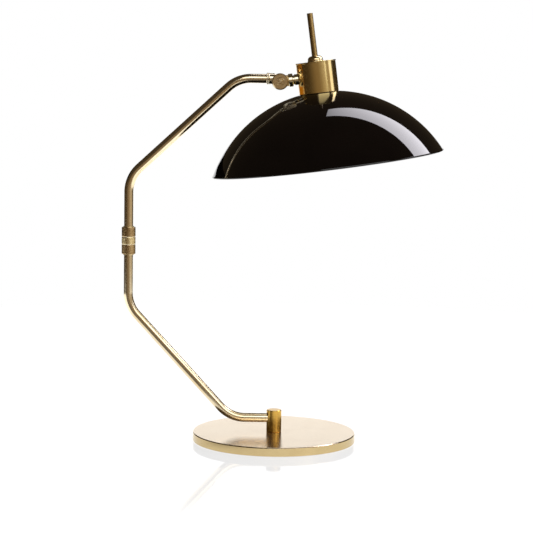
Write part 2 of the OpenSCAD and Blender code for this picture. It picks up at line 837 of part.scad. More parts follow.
// The lead lies along its channel from the back edge, then turns up into the post
foot_start = base_r - bush_in - splice_room;
foot_frames = concat(
    [[[0, foot_start, lead_z], [-1, 0, 0], [0, 0, 1]]],
    [for (k = [0 : bend_steps]) let (a = 90 * k / bend_steps)
        [[0, foot_bend * (1 - sin(a)), lead_z + foot_bend * (1 - cos(a))],
            [-1, 0, 0], [0, sin(a), cos(a)]]]);
stem_path = [[0, base_h], [0, arm_z], lower_path[1], lower_path[2],
    [-arm_back, spindle_top - lead_end]];

module lower_lead() color([0.85, 0.82, 0.75]) {
    swept_bar(concat(foot_frames, path_frames(stem_path, [0, post_bend, bend_r, bend_r])),
        lead_d / 2, lead_sides);
}

module upper_lead() color([0.85, 0.82, 0.75]) {
    swept_bar(path_frames([[-arm_back, spindle_top + lead_end], upper_path[1], upper_path[2],
        [pivot_x - pocket_r - lead_end, head_z]], [0, bend_r, bend_r]),
        lead_d / 2, lead_sides);
}

module head_lead() color([0.85, 0.82, 0.75]) {
    lead_start = screw_r + lead_rise;
    on_neck() rotate([0, 90, 0]) translate([0, 0, lead_start])
        cylinder(r = lead_d / 2, h = neck_len - cap_r + cap_hole - lead_end - lead_start);
}

base_cover();
base_weight();
felt_pad();
cord_bush();
post();
post_nipple();
post_washer();
post_nut();
lower_tube();
lower_collar();
swivel_spindle();
swivel_washers();
lock_ring();
spindle_clip();
upper_collar();
upper_tube();
tube_ferrule();
knuckle_fork();
knuckle_screw();
friction_washers();
knob_washer();
clamp_knob();
knuckle_eye();
neck_nut();
socket_cup();
nut_washer();
dome_nut();
handle_rod();
cup_nipple();
holder_cap();
holder_skirt();
holder_insert();
holder_shell();
centre_contact();
shade_ring();
shade();
bulb_cap();
bulb_glass();
lower_lead();
upper_lead();
head_lead();
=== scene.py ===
import json
import math

import bmesh
import bpy
from mathutils import Matrix, Vector


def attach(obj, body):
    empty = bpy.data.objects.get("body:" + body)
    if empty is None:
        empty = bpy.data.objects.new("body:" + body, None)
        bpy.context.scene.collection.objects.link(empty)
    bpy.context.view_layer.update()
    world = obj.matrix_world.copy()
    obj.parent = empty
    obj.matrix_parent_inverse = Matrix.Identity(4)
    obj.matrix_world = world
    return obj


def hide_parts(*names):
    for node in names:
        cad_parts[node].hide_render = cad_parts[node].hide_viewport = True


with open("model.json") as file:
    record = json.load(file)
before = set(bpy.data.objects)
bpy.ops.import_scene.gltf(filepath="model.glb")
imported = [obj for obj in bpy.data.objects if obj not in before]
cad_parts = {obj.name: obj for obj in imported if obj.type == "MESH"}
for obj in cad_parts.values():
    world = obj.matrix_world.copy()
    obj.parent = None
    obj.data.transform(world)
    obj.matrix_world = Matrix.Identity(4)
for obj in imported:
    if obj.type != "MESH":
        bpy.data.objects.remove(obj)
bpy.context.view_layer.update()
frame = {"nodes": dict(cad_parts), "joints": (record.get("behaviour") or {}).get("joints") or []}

# ---------- camera ----------
# A long lens two metres in front of the lamp and level with its head, looking
# slightly down. The picture is square.
CAMERA_AT = (0, -1.950, 0.410)
LOOK_DOWN = math.radians(6.34)
LOOK_LEFT = math.radians(0.31)
ROLL = math.radians(0.8)
PICTURE_PX = 533
PIXEL_M = 0.00109        # what a pixel spans at the arm
SENSOR_MM = 36

lens = bpy.data.cameras.new("camera")
lens.sensor_width = SENSOR_MM
lens.lens = -CAMERA_AT[1] / PIXEL_M / PICTURE_PX * SENSOR_MM
camera = bpy.data.objects.new("camera", lens)
bpy.context.scene.collection.objects.link(camera)
camera.matrix_world = (
    Matrix.Translation(CAMERA_AT)
    @ Matrix.Rotation(LOOK_LEFT, 4, "Z")
    @ Matrix.Rotation(math.radians(90) - LOOK_DOWN, 4, "X")
    @ Matrix.Rotation(ROLL, 4, "Z")
)
bpy.context.scene.camera = camera
bpy.context.scene.view_settings.view_transform = "Standard"

# ---------- studio ----------
# A dark, warm room round a white table, with a white backdrop close behind the lamp and
# softboxes high in front on the right, overhead and on the right. The background is plain
# white; what the brass and the enamel mirror is the room.
WHITE = (1, 1, 1, 1)
ROOM_LEVEL = (0.55, 0.54, 0.53, 1)       # the room's light on surfaces that scatter it
ROOM_ABOVE = (0.045, 0.032, 0.018, 1)    # its ceiling and the wall behind, as gloss mirrors them
ROOM_LEFT = (0.05, 0.032, 0.014, 1)      # and its other walls
ROOM_FRONT = (0.24, 0.17, 0.10, 1)
ROOM_RIGHT = (0.44, 0.36, 0.26, 1)
CEILING_TO_WALL = (0.30, 0.10)           # z of the directions between which the two blend
BACK_TO_FRONT = (0.35, -0.10)            # y
LEFT_TO_FRONT = (-0.95, 0.05)            # x
FRONT_TO_RIGHT = (0.10, 0.70)            # x


def add_node(tree, kind, inputs, **settings):
    """A node with its settings; each input is a plain value or another node's output."""
    made = tree.nodes.new(kind)
    for name, value in settings.items():
        setattr(made, name, value)
    for name, value in inputs.items():
        if isinstance(value, bpy.types.NodeSocket):
            tree.links.new(value, made.inputs[name])
        else:
            made.inputs[name].default_value = value
    return made


def number(tree, operation, *values):
    """The output of a Math node."""
    return add_node(
        tree, "ShaderNodeMath", dict(enumerate(values)), operation=operation
    ).outputs[0]


def mix_colours(tree, share, first, second):
    """The output of a colour Mix node, whose sockets 6 and 7 take the colours."""
    return add_node(
        tree, "ShaderNodeMix", {0: share, 6: first, 7: second}, data_type="RGBA"
    ).outputs[2]


def ramp_between(tree, value, low, high, to_low=0.0, to_high=1.0):
    """A smooth step of value from low to high."""
    return add_node(
        tree,
        "ShaderNodeMapRange",
        {"Value": value, "From Min": low, "From Max": high, "To Min": to_low, "To Max": to_high},
        interpolation_type="SMOOTHSTEP",
    ).outputs[0]


world = bpy.data.worlds.new("studio")
bpy.context.scene.world = world
world.use_nodes = True
room = world.node_tree
room.nodes.clear()
way = add_node(room, "ShaderNodeSeparateXYZ", {
    0: add_node(room, "ShaderNodeTexCoord", {}).outputs["Generated"]}).outputs
rays = add_node(room, "ShaderNodeLightPath", {}).outputs
below_top = ramp_between(room, way["Z"], *CEILING_TO_WALL)
facing = ramp_between(room, way["Y"], *BACK_TO_FRONT)
across = mix_colours(room, ramp_between(room, way["X"], *LEFT_TO_FRONT), ROOM_LEFT, ROOM_FRONT)
across = mix_colours(room, ramp_between(room, way["X"], *FRONT_TO_RIGHT), across, ROOM_RIGHT)
mirrored = mix_colours(room, number(room, "MULTIPLY", below_top, facing), ROOM_ABOVE, across)
seen_in = number(room, "MAXIMUM", rays["Is Glossy Ray"], rays["Is Transmission Ray"])
level = mix_colours(room, seen_in, ROOM_LEVEL, mirrored)
level = mix_colours(room, rays["Is Camera Ray"], level, WHITE)
background = add_node(room, "ShaderNodeBackground", {"Color": level, "Strength": 1.0})
add_node(room, "ShaderNodeOutputWorld", {0: background.outputs[0]})

TABLE_RADIUS = 1.15
TABLE_SHEEN = 0.26       # how much of the lamp the table mirrors
SHEEN_ENDS = (0.40, 0.27)    # from the lamp's middle, where the mirror image fades out
TABLE_SHADOW = 0.15      # how much of its white comes from the light on it
MIRROR_TINT = (0.97, 0.98, 1.0, 1)
MATT_WHITE = (0.86, 0.86, 0.86, 1)
GLOW = (1.13, 1.13, 1.13, 1)             # its white to look at
GLOW_IN_METAL = (1.45, 1.45, 1.45, 1)    # and as gloss mirrors it
CARD_BROWN = (0.06, 0.034, 0.006, 1)
CARD_CORNER = (-0.11, -0.047, 0)         # of the card that draws the dark line in the arm
CARD_SIDES = ((-0.95, -0.31, 0), (0.49, -0.87, 0))   # ways into the card, square to its sides
CARD_BLUR = 0.03         # half the width over which the card's sides fade
FRONT_EDGE = (-0.70, -0.85)  # y over which the table turns dark towards its front edge


def new_object(name, shape):
    """A mesh object made from a bmesh, at the origin."""
    mesh = bpy.data.meshes.new(name)
    shape.to_mesh(mesh)
    shape.free()
    made = bpy.data.objects.new(name, mesh)
    bpy.context.scene.collection.objects.link(made)
    return made


def new_material(name):
    """A material's node tree, with its output, and nothing else in it."""
    made = bpy.data.materials.new(name)
    made.use_nodes = True
    made.node_tree.nodes.clear()
    output = made.node_tree.nodes.new("ShaderNodeOutputMaterial")
    return made, made.node_tree, output


def table_white():
    """White to look at, with a faint mirror image and a faint shadow of what stands on it.
    The brass sees a dark brown card laid on it in front on the left, and its front edge.
    From below it is clear, so that the base's underside shows."""
    made, tree, output = new_material("table_white")
    place = add_node(tree, "ShaderNodeTexCoord", {}).outputs["Object"]
    ahead = add_node(tree, "ShaderNodeSeparateXYZ", {0: place}).outputs["Y"]
    from_corner = add_node(tree, "ShaderNodeVectorMath", {0: place, 1: CARD_CORNER},
                           operation="SUBTRACT").outputs[0]
    sides = [add_node(tree, "ShaderNodeVectorMath", {0: from_corner, 1: inward},
                      operation="DOT_PRODUCT").outputs["Value"] for inward in CARD_SIDES]
    card = number(tree, "MULTIPLY", *[
        ramp_between(tree, side, -CARD_BLUR, CARD_BLUR) for side in sides])
    card = number(tree, "MAXIMUM", card, ramp_between(tree, ahead, *FRONT_EDGE))
    away = add_node(tree, "ShaderNodeVectorMath", {0: place}, operation="LENGTH").outputs["Value"]
    in_metal = add_node(tree, "ShaderNodeLightPath", {}).outputs["Is Glossy Ray"]
    white = mix_colours(tree, card, GLOW_IN_METAL, CARD_BROWN)
    white = mix_colours(tree, in_metal, GLOW, white)
    glow = add_node(tree, "ShaderNodeEmission", {"Color": white, "Strength": 1.0})
    mirror = add_node(tree, "ShaderNodeBsdfGlossy", {"Color": MIRROR_TINT, "Roughness": 0.05})
    matt = add_node(tree, "ShaderNodeBsdfDiffuse", {"Color": MATT_WHITE})
    first = add_node(tree, "ShaderNodeMixShader", {
        0: ramp_between(tree, away, *SHEEN_ENDS, 0.0, TABLE_SHEEN),
        1: glow.outputs[0], 2: mirror.outputs[0]})
    second = add_node(tree, "ShaderNodeMixShader", {
        0: TABLE_SHADOW, 1: first.outputs[0], 2: matt.outputs[0]})
    from_below = add_node(tree, "ShaderNodeMixShader", {
        0: add_node(tree, "ShaderNodeNewGeometry", {}).outputs["Backfacing"],
        1: second.outputs[0],
        2: add_node(tree, "ShaderNodeBsdfTransparent", {}).outputs[0]})
    tree.links.new(from_below.outputs[0], output.inputs["Surface"])
    return made


shape = bmesh.new()
bmesh.ops.create_circle(shape, cap_ends=True, segments=96, radius=TABLE_RADIUS)
table = new_object("table", shape)
table.data.materials.append(table_white())


def softbox(name, centre, along, across, bright_start, bright_end, tint=WHITE):
    """A glowing panel: along and across are its half sides, and it brightens along its length."""
    shape = bmesh.new()
    bmesh.ops.create_grid(shape, x_segments=1, y_segments=1, size=1)
    for corner in shape.verts:
        corner.co = Vector(centre) + corner.co.x * Vector(along) + corner.co.y * Vector(across)
    panel = new_object(name, shape)
    made, tree, output = new_material(name + "_light")
    place = add_node(tree, "ShaderNodeTexCoord", {}).outputs["Object"]
    offset = add_node(tree, "ShaderNodeVectorMath", {0: place, 1: centre}, operation="SUBTRACT")
    share = add_node(tree, "ShaderNodeVectorMath", {
        0: offset.outputs[0], 1: Vector(along) / Vector(along).length_squared},
        operation="DOT_PRODUCT")
    strength = add_node(tree, "ShaderNodeMapRange", {
        "Value": share.outputs["Value"], "From Min": -1.0, "From Max": 1.0,
        "To Min": bright_start, "To Max": bright_end})
    glow = add_node(tree, "ShaderNodeEmission", {"Color": tint, "Strength": strength.outputs[0]})
    tree.links.new(glow.outputs[0], output.inputs["Surface"])
    panel.data.materials.append(made)
    panel.visible_camera = False
    return panel


LAVENDER = (0.97, 0.94, 1.0, 1)
BACKDROP_HALF = 0.21     # half its height; it stands on the table
softbox("backdrop", centre=(0, TABLE_RADIUS, BACKDROP_HALF), along=(0.54, 0, 0),
        across=(0, 0, BACKDROP_HALF), bright_start=1.15, bright_end=1.15)
softbox("key_softbox", centre=(0.934, -2.097, 1.750), along=(1.48, 0.659, -0.25),
        across=(-0.171, 0.384, 0.790), bright_start=2.0, bright_end=2.0)
softbox("strip_softbox", centre=(0.300, 0.394, 1.253), along=(0.357, -0.199, -0.591),
        across=(0.026, 0.156, -0.025), bright_start=3.0, bright_end=8.0, tint=LAVENDER)
softbox("side_softbox", centre=(1.25, -0.08, 0.80), along=(0, 0, 0.36), across=(0, 0.22, 0),
        bright_start=1.5, bright_end=1.5, tint=LAVENDER)

# ---------- base cover ----------
# The round plate that shows: sheet brass, pressed over the iron weight, with its face
# spun to a satin grain and its edge broken by a narrow bevel, then lacquered.
COVER_EDGE = 0.0008      # the bevel round the top
COVER_WALL = 0.0012
COVER_ROUNDING = 0.00025
NIPPLE_HOLE = 0.00505    # radius of the hole that a threaded nipple goes through
UPRIGHT = 0.5            # a face whose normal rises less than this is part of the edge
TOUCHING = 0.0000001     # points nearer than this are one
CREASE = math.radians(36)    # an edge sharper than this stays crisp
FLAT_WEIGHT = 80         # how much more large flat faces count in the shading

nodes = frame["nodes"]


def rgb(red, green, blue):
    """A colour given as it shows on a screen, 0 to 255, as a shader takes it."""
    def linear(value):
        share = value / 255
        return share / 12.92 if share <= 0.04045 else ((share + 0.055) / 1.055) ** 2.4
    return linear(red), linear(green), linear(blue), 1.0


def reach(node, to_frame=Matrix.Identity(4)):
    """A CAD node's lowest and highest corners, measured in another frame."""
    points = [to_frame @ v.co for v in nodes[node].data.vertices]
    return (Vector([min(p[i] for p in points) for i in range(3)]),
            Vector([max(p[i] for p in points) for i in range(3)]))


def turned(profile, steps):
    """A bmesh spun from a closed outline of (radius, height) points round the z axis."""
    shape = bmesh.new()
    corners = [shape.verts.new((radius, 0, height)) for radius, height in profile]
    on_axis = [radius < TOUCHING for radius, height in profile]
    edges = []
    for i, corner in enumerate(corners):
        following = (i + 1) % len(corners)
        if not (on_axis[i] and on_axis[following]):
            edges.append(shape.edges.new((corner, corners[following])))
    bmesh.ops.spin(shape, geom=corners + edges, cent=(0, 0, 0), axis=(0, 0, 1),
                   angle=math.tau, steps=steps, use_merge=True, use_duplicate=False)
    bmesh.ops.remove_doubles(shape, verts=shape.verts, dist=TOUCHING)
    bmesh.ops.recalc_face_normals(shape, faces=shape.faces)
    return shape


def break_edges(shape, width, segments=3, sharper_than=35):
    """Rounds every edge at which two faces meet more sharply than an angle in degrees."""
    sharp = [e for e in shape.edges if len(e.link_faces) == 2
             and e.calc_face_angle() > math.radians(sharper_than)]
    bmesh.ops.bevel(shape, geom=sharp, offset=width, offset_type="OFFSET", affect="EDGES",
                    segments=segments, profile=0.5, material=-1, clamp_overlap=True)
    return shape


def finished(name, shape, material):
    """A piece with smooth shading that keeps its flat faces flat and its corners crisp."""
    for edge in shape.edges:
        edge.smooth = len(edge.link_faces) == 2 and edge.calc_face_angle() < CREASE
    made = new_object(name, shape)
    made.data.shade_smooth()
    made.data.materials.append(material)
    weighted = made.modifiers.new("flat_faces", "WEIGHTED_NORMAL")
    weighted.keep_sharp = True
    weighted.weight = FLAT_WEIGHT
    return made


def group(name, inputs, outputs):
    """An empty shader node group with named inputs and outputs, and its two end nodes."""
    tree = bpy.data.node_groups.new(name, "ShaderNodeTree")
    for label, kind, value in inputs:
        socket = tree.interface.new_socket(label, in_out="INPUT", socket_type=kind)
        if value is not None:
            socket.default_value = value
    for label, kind in outputs:
        tree.interface.new_socket(label, in_out="OUTPUT", socket_type=kind)
    return tree, tree.nodes.new("NodeGroupInput").outputs, tree.nodes.new("NodeGroupOutput").inputs


# Lacquer: broad clouds where the film is thicker or was handled, and fine specks in it
lacquer, ins, outs = group(
    "lacquer",
    [("Vector", "NodeSocketVector", None), ("Clouds Scale", "NodeSocketFloat", 40.0),
     ("Specks Scale", "NodeSocketFloat", 1800.0)],
    [("Clouds", "NodeSocketFloat"), ("Specks", "NodeSocketFloat")])
broad = add_node(lacquer, "ShaderNodeTexNoise", {
    "Vector": ins["Vector"], "Scale": ins["Clouds Scale"], "Detail": 3.0, "Roughness": 0.55})
fine = add_node(lacquer, "ShaderNodeTexNoise", {
    "Vector": ins["Vector"], "Scale": ins["Specks Scale"], "Detail": 1.0})
lacquer.links.new(ramp_between(lacquer, broad.outputs[0], 0.30, 0.70), outs["Clouds"])
lacquer.links.new(ramp_between(lacquer, fine.outputs[0], 0.62, 0.74), outs["Specks"])

# Marks left by turning or spinning: fine lines round an axis, which is the vector's z
LINE_DRIFT = 0.0003      # metres a radian by which the lines wander
turning, ins, outs = group(
    "turning_marks",
    [("Vector", "NodeSocketVector", None), ("Lines", "NodeSocketFloat", 1500.0)],
    [("Marks", "NodeSocketFloat")])
part = add_node(turning, "ShaderNodeSeparateXYZ", {0: ins["Vector"]}).outputs
from_axis = number(turning, "SQRT", number(
    turning, "ADD", number(turning, "MULTIPLY", part["X"], part["X"]),
    number(turning, "MULTIPLY", part["Y"], part["Y"])))
drift = number(
    turning, "MULTIPLY", number(turning, "ARCTAN2", part["Y"], part["X"]), LINE_DRIFT)
line_at = add_node(turning, "ShaderNodeCombineXYZ", {
    "X": from_axis, "Y": part["Z"], "Z": number(turning, "ABSOLUTE", drift)})
lines = add_node(turning, "ShaderNodeTexNoise", {
    "Vector": line_at.outputs[0], "Scale": ins["Lines"], "Detail": 2.0, "Roughness": 0.7})
turning.links.new(lines.outputs[0], outs["Marks"])

SPECKS_ON_GLOSS = 0.05   # how much rougher a speck is than the film round it


def gloss_of(tree, film, lines, roughness, film_share, lines_share):
    """Roughness that rises where the film is thick and varies with the lines in the metal."""
    gloss = ramp_between(tree, film.outputs["Clouds"], 0.0, 1.0,
                         roughness * (1 + film_share), roughness * (1 - film_share))
    return number(tree, "ADD", gloss, number(
        tree, "MULTIPLY", number(tree, "SUBTRACT", lines, 0.5), roughness * lines_share))


def brass(name, tint, deep, roughness, marks, marks_depth, axis_frame=Matrix.Identity(4)):
    """Lacquered brass: tint where the film is thin, deep where it is thick. The marks of its
    turning go round the z axis of axis_frame, at so many a metre and so many metres deep."""
    made, tree, output = new_material(name)
    place = add_node(tree, "ShaderNodeTexCoord", {}).outputs["Object"]
    to_axis = axis_frame.inverted()
    own = add_node(tree, "ShaderNodeMapping", {
        "Vector": place, "Location": to_axis.translation, "Rotation": to_axis.to_euler()})
    film = add_node(tree, "ShaderNodeGroup", {"Vector": place}, node_tree=lacquer)
    cut = add_node(tree, "ShaderNodeGroup", {"Vector": own.outputs[0], "Lines": marks},
                   node_tree=turning)
    colour = mix_colours(tree, film.outputs["Clouds"], deep, tint)
    gloss = gloss_of(tree, film, cut.outputs["Marks"], roughness, film_share=0.02, lines_share=0.4)
    gloss = number(tree, "ADD", gloss, number(
        tree, "MULTIPLY", film.outputs["Specks"], SPECKS_ON_GLOSS))
    relief = add_node(tree, "ShaderNodeBump", {
        "Height": cut.outputs["Marks"], "Strength": 1.0, "Distance": marks_depth})
    metal = add_node(tree, "ShaderNodeBsdfPrincipled", {
        "Base Color": colour, "Metallic": 1.0, "Roughness": gloss,
        "Normal": relief.outputs[0]})
    tree.links.new(metal.outputs[0], output.inputs["Surface"])
    return made


low, high = reach("base_cover")
cover_radius = high.x
inner = cover_radius - COVER_WALL
shape = turned([
    (NIPPLE_HOLE, high.z - COVER_WALL), (NIPPLE_HOLE, high.z), (cover_radius - COVER_EDGE, high.z),
    (cover_radius, high.z - COVER_EDGE), (cover_radius, low.z), (inner, low.z),
    (inner, high.z - COVER_WALL)], steps=192)
break_edges(shape, COVER_ROUNDING, sharper_than=20)
cover = finished("base_cover_plate", shape, brass(
    "spun_plate_brass", tint=rgb(241, 222, 194), deep=rgb(240, 220, 191), roughness=0.22,
    marks=900.0, marks_depth=0.0000005))
# The upright edge gets a darker copy of the plate's brass: its darker colour is painted shade.
cover.data.materials.append(brass(
    "shaded_edge_brass", tint=rgb(206, 184, 136), deep=rgb(202, 179, 131), roughness=0.22,
    marks=900.0, marks_depth=0.000001))
# Faces that do not face up take the darker copy, the painted shade on the edge.
for face in cover.data.polygons:
    if abs(face.normal.z) < UPRIGHT:
        face.material_index = 1
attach(cover, "stand")
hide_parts("base_cover")

# ---------- base weight ----------
# A cast iron disc inside the cover, as it left the sand, with a recess for the nut and
# a channel for the cord. It gives the lamp its footing.
IRON = rgb(62, 60, 60)
IRON_SCALE = rgb(38, 36, 36)
GRAIN_ON_GLOSS = 0.15    # share of a plain material's roughness that its grain changes


def solid_finish(name, base, second, roughness, grain, relief_depth, metallic=0.0):
    """A plain material of two mixed tones with a grain of its own and a fine relief."""
    made, tree, output = new_material(name)
    place = add_node(tree, "ShaderNodeTexCoord", {}).outputs["Object"]
    grains = add_node(tree, "ShaderNodeTexNoise", {
        "Vector": place, "Scale": grain, "Detail": 4.0, "Roughness": 0.65}).outputs[0]
    tone = ramp_between(tree, grains, 0.35, 0.65)
    relief = add_node(tree, "ShaderNodeBump", {
        "Height": grains, "Strength": 1.0, "Distance": relief_depth})
    body = add_node(tree, "ShaderNodeBsdfPrincipled", {
        "Base Color": mix_colours(tree, tone, base, second), "Metallic": metallic,
        "Roughness": ramp_between(tree, grains, 0.3, 0.7, roughness * (1 - GRAIN_ON_GLOSS),
                                  roughness * (1 + GRAIN_ON_GLOSS)),
        "Normal": relief.outputs[0]})
    tree.links.new(body.outputs[0], output.inputs["Surface"])
    return made


def dress(node, material):
    """Gives a CAD node, whose shape stays, its material."""
    nodes[node].data.materials.clear()
    nodes[node].data.materials.append(material)


dress("base_weight", solid_finish(
    "cast_iron", IRON, IRON_SCALE, roughness=0.75, grain=420.0, relief_depth=0.00015, metallic=0.6))

# ---------- felt pad ----------
# A disc of pressed wool felt glued under the base, a little inside its edge, so that the
# lamp slides without scratching the table.
dress("felt_pad", solid_finish(
    "pressed_felt", rgb(34, 34, 36), rgb(58, 58, 60), roughness=0.95, grain=2600.0,
    relief_depth=0.0002))

# ---------- cord bush ----------
# A moulded black bush pushed through the back edge of the base. It is made for a round
# cord, and keeps the edge of the sheet brass off it.
dress("cord_bush", solid_finish(
    "moulded_bush", rgb(22, 22, 22), rgb(30, 30, 30), roughness=0.45, grain=900.0,
    relief_depth=0.00002))

# ---------- post ----------
# A turned brass post that stands on the plate. The arm goes into its side, and a nipple
# with a nut under the plate pulls it down. Its foot and top are chamfered.
POST_ROUNDING = 0.00015
POST_GOLD = rgb(224, 184, 98)
POST_DEEP = rgb(215, 172, 82)
MERGED = 0.000002        # corners of a CAD node's triangles nearer than this are one
FLAT_WITHIN = math.radians(0.3)


def softened(node, width, segments=2, sharper_than=35):
    """A copy of a CAD node's mesh, merged, with its flat faces whole and its edges rounded."""
    shape = bmesh.new()
    shape.from_mesh(nodes[node].data)
    bmesh.ops.remove_doubles(shape, verts=shape.verts, dist=MERGED)
    bmesh.ops.dissolve_limit(shape, angle_limit=FLAT_WITHIN, verts=shape.verts,
                             edges=shape.edges, use_dissolve_boundaries=False)
    return break_edges(shape, width, segments, sharper_than)


post = finished("arm_post", softened("post", POST_ROUNDING), brass(
    "turned_post_brass", POST_GOLD, POST_DEEP, roughness=0.19, marks=2200.0,
    marks_depth=0.000003))
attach(post, "stand")
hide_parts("post")

# ---------- post's fastening ----------
# Zinc-plated steel out of sight in the base: the threaded nipple, and under the iron its
# washer and the nut that draws the post down.
ZINC = rgb(190, 192, 196)
ZINC_DULL = rgb(160, 163, 168)
zinc_plate = solid_finish("zinc_plate", ZINC, ZINC_DULL, roughness=0.32, grain=700.0,
                          relief_depth=0.00001, metallic=1.0)
for fastener in ("post_nipple", "post_washer", "post_nut"):
    dress(fastener, zinc_plate)

# ---------- arm tubes ----------
# Drawn brass tube, 10 mm across, bent cold round a former of 36 mm: the lower one from
# the post to the swivel, the upper one from the swivel to the knuckle. Lacquered.
BEND_RADIUS = 0.036
TUBE_WALL = 0.001
TUBE_SIDES = 40
BEND_STEPS = 18
LOWER_RUN = 0.0485       # from the post's axis to the corner of the first bend
LOWER_ELBOW = 0.1485     # height of the corner under the swivel
UPPER_ELBOW = 0.289      # height of the corner above the swivel
TOP_RUN = 0.044          # from the post's axis back to the corner of the top bend
TUBE_TINT = rgb(243, 228, 195)
TUBE_DEEP = rgb(236, 214, 172)
LINE_SCALE = (9.0, 9.0, 12.0)    # how close the lines lie round the tube, and change along it


def bent_tube(corners, radius, bend):
    """A tube's outer skin along corners in the XZ plane: a ring is pulled along each
    straight and spun round each bend. Returns the bmesh and the ring centres on the way."""
    shape = bmesh.new()
    points = [Vector((x, 0, z)) for x, z in corners]
    legs = [(b - a).normalized() for a, b in zip(points, points[1:])]
    turn_first = Matrix.Translation(points[0]) @ legs[0].to_track_quat("Z", "Y").to_matrix().to_4x4()
    made = bmesh.ops.create_circle(shape, cap_ends=False, segments=TUBE_SIDES, radius=radius,
                                   matrix=turn_first)
    ring = list({e for v in made["verts"] for e in v.link_edges})
    here, stations = points[0], [(points[0], legs[0], 0.0)]
    gone = 0.0

    def pull(ring, way):
        made = bmesh.ops.extrude_edge_only(shape, edges=ring)["geom"]
        moved = [g for g in made if isinstance(g, bmesh.types.BMVert)]
        bmesh.ops.translate(shape, verts=moved, vec=way)
        return [g for g in made if isinstance(g, bmesh.types.BMEdge)
                and g.verts[0] in moved and g.verts[1] in moved]

    for i, corner in enumerate(points[1:-1]):
        axis = legs[i].cross(legs[i + 1]).normalized()
        angle = legs[i].angle(legs[i + 1])
        setback = bend * math.tan(angle / 2)
        start = corner - legs[i] * setback
        ring = pull(ring, start - here)
        gone += (start - here).length
        stations.append((start, legs[i], gone))
        centre = start + axis.cross(legs[i]) * bend
        spun = bmesh.ops.spin(shape, geom=ring + list({v for e in ring for v in e.verts}),
                              cent=centre, axis=axis, angle=angle, steps=BEND_STEPS,
                              use_duplicate=False)
        ring = [g for g in spun["geom_last"] if isinstance(g, bmesh.types.BMEdge)]
        for k in range(1, BEND_STEPS + 1):
            part = Matrix.Rotation(angle * k / BEND_STEPS, 3, axis)
            gone += bend * angle / BEND_STEPS
            stations.append((centre + part @ (start - centre), part @ legs[i], gone))
        here = corner + legs[i + 1] * setback
    pull(ring, points[-1] - here)
    gone += (points[-1] - here).length
    stations.append((points[-1], legs[-1], gone))
    bmesh.ops.recalc_face_normals(shape, faces=shape.faces)
    for edge in shape.edges:
        edge.smooth = not edge.is_boundary
    return shape, stations


def mark_along(piece, stations):
    """Stores at each point of a tube its place on the tube: round it, and along it."""
    drawn = piece.data.attributes.new("drawn", "FLOAT_VECTOR", "POINT")
    for i, vertex in enumerate(piece.data.vertices):
        centre, way, gone = min(
            stations, key=lambda s: abs((vertex.co - s[0]).dot(s[1])) + (vertex.co - s[0]).length)
        out = (vertex.co - centre).normalized()
        normal = Vector((0, 1, 0)).cross(way)
        drawn.data[i].vector = (out.dot(normal), out.y, gone)


def drawn_brass(name, tint, deep, roughness):
    """Drawn tube: faint lines along its length, and lacquer over them."""
    made, tree, output = new_material(name)
    place = add_node(tree, "ShaderNodeTexCoord", {}).outputs["Object"]
    on_tube = add_node(tree, "ShaderNodeAttribute", {}, attribute_name="drawn").outputs["Vector"]
    stretched = add_node(tree, "ShaderNodeMapping", {"Vector": on_tube, "Scale": LINE_SCALE})
    lines = add_node(tree, "ShaderNodeTexNoise", {
        "Vector": stretched.outputs[0], "Scale": 3.0, "Detail": 3.0, "Roughness": 0.7}).outputs[0]
    film = add_node(tree, "ShaderNodeGroup", {"Vector": place, "Clouds Scale": 26.0},
                    node_tree=lacquer)
    gloss = gloss_of(tree, film, lines, roughness, film_share=0.1, lines_share=0.3)
    relief = add_node(tree, "ShaderNodeBump", {
        "Height": lines, "Strength": 1.0, "Distance": 0.0000006})
    metal = add_node(tree, "ShaderNodeBsdfPrincipled", {
        "Base Color": mix_colours(tree, film.outputs["Clouds"], deep, tint), "Metallic": 1.0,
        "Roughness": gloss, "Normal": relief.outputs[0]})
    tree.links.new(metal.outputs[0], output.inputs["Surface"])
    return made


tube_brass = drawn_brass("drawn_tube_brass", TUBE_TINT, TUBE_DEEP, roughness=0.17)
joint_at = {joint["name"]: Vector(joint["pos_m"]) for joint in frame["joints"]}
swivel_x = joint_at["arm_swivel"].x
low, high = reach("lower_tube")
tube_radius = high.y
lower_end = (swivel_x, high.z)
lower_start = (high.x, low.z + tube_radius)
low, high = reach("upper_tube")
upper_start = (swivel_x, low.z)
upper_end = (high.x, high.z - tube_radius)
for name, node, body, corners in (
    ("arm_tube_lower", "lower_tube", "stand",
     [lower_start, (-LOWER_RUN, lower_start[1]), (swivel_x, LOWER_ELBOW), lower_end]),
    ("arm_tube_upper", "upper_tube", "upper_arm",
     [upper_start, (swivel_x, UPPER_ELBOW), (-TOP_RUN, upper_end[1]), upper_end]),
):
    shape, stations = bent_tube(corners, tube_radius, BEND_RADIUS)
    tube = new_object(name, shape)
    tube.data.shade_smooth()
    tube.data.materials.append(tube_brass)
    mark_along(tube, stations)
    wall = tube.modifiers.new("wall", "SOLIDIFY")
    wall.thickness = TUBE_WALL
    wall.offset = -1
    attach(tube, body)
    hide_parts(node)

# ---------- swivel ----------
# The joint in the upright: a collar on each tube with a lock ring between them, turned
# from brass bar and knurled to be gripped. The ring is of a paler brass. The collars'
# plain lips are a little smoother, and drawn in a near-white brass that is a painted highlight.
KNURL_RIDGES = 44
KNURL_DEPTH = 0.0003
ON_WALL = 0.000001       # a point this near a turned shape's outer wall is on it
RING_CHAMFER = 0.0004
COLLAR_LIP = 0.001       # height of the plain lip on the tube's side of each collar
LIP_RADIUS = 0.0059
SPINDLE_BORE = 0.004
TUBE_SEAT = 0.0016       # height of the floor in the upper collar on which its tube stands
COLLAR_TINT = rgb(196, 168, 122)
COLLAR_DEEP = rgb(172, 142, 96)
RING_TINT = rgb(248, 228, 176)
RING_DEEP = rgb(240, 214, 154)
# Near-white tint of the lips: a painted highlight on real brass.
LIP_HIGHLIGHT = rgb(255, 244, 206)
LIP_HIGHLIGHT_DEEP = rgb(250, 234, 188)


